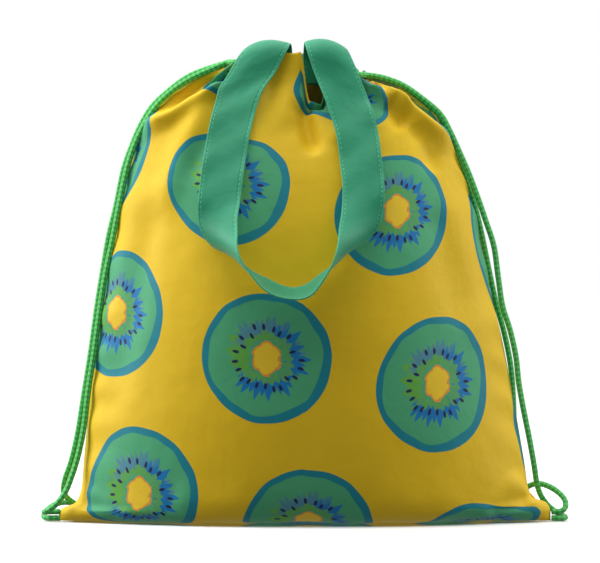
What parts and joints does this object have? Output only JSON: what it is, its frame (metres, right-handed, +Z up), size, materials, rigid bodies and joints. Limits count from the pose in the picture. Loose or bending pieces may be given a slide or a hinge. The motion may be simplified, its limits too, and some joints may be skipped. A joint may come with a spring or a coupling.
{
  "type": "drawstring bag",
  "caption": "Cloth drawstring bag with two sewn-on carry handles, standing filled with its mouth gathered and its cords run down the sides to the bottom corners.",
  "frame": {"origin": "the middle of the bottom seam, on the surface that the bag stands on", "axes": "+Z up to the mouth, -Y the front, +X along the bottom seam to the right as seen from the front"},
  "size_m": [0.3578, 0.1898, 0.3192],
  "materials": {
    "printed_cloth": "woven polyester taffeta, printed outside, paler inside",
    "seam_thread": "overlocked seam allowance",
    "strap_cloth": "folded and edge-stitched polyester",
    "strap_thread": "sewing thread",
    "braided_cord": "round braid"
  },
  "bodies": {
    "bag": {"front_panel": "printed_cloth", "back_panel": "printed_cloth", "left_seam": "seam_thread", "right_seam": "seam_thread", "bottom_seam": "seam_thread", "left_corner_ends": "braided_cord", "right_corner_ends": "braided_cord", "left_cord_exits": "braided_cord", "right_cord_exits": "braided_cord", "left_drawstring_turn": "braided_cord", "right_drawstring_turn": "braided_cord", "left_front_strand": "braided_cord", "left_back_strand": "braided_cord", "right_front_strand": "braided_cord", "right_back_strand": "braided_cord"},
    "front_mouth": {"front_hem": "printed_cloth", "front_handle_ends": "strap_cloth", "front_handle_stitching": "strap_thread", "left_drawstring_front_run": "braided_cord", "right_drawstring_front_run": "braided_cord"},
    "back_mouth": {"back_hem": "printed_cloth", "back_handle_ends": "strap_cloth", "back_handle_stitching": "strap_thread", "left_drawstring_back_run": "braided_cord", "right_drawstring_back_run": "braided_cord"},
    "front_handle": {"front_handle": "strap_cloth"},
    "back_handle": {"back_handle": "strap_cloth"}
  },
  "joints": [
    {"name": "front_mouth_open", "type": "slide", "parent": "bag", "child": "front_mouth", "axis": [0, -1, 0], "range_m": [0, 0.035]},
    {"name": "back_mouth_open", "type": "slide", "parent": "bag", "child": "back_mouth", "axis": [0, 1, 0], "range_m": [0, 0.035]},
    {"name": "front_handle_swing", "type": "hinge", "parent": "front_mouth", "child": "front_handle", "pos_m": [-0.0065, -0.01835, 0.3135], "axis": [-1, 0, 0], "range_deg": [0, 150]},
    {"name": "back_handle_swing", "type": "hinge", "parent": "back_mouth", "child": "back_handle", "pos_m": [-0.0065, 0.01835, 0.3135], "axis": [1, 0, 0], "range_deg": [0, 150]}
  ],
  "couplings": [
    {"joint": "back_mouth_open", "follows": "front_mouth_open", "ratio": 1}
  ]
}
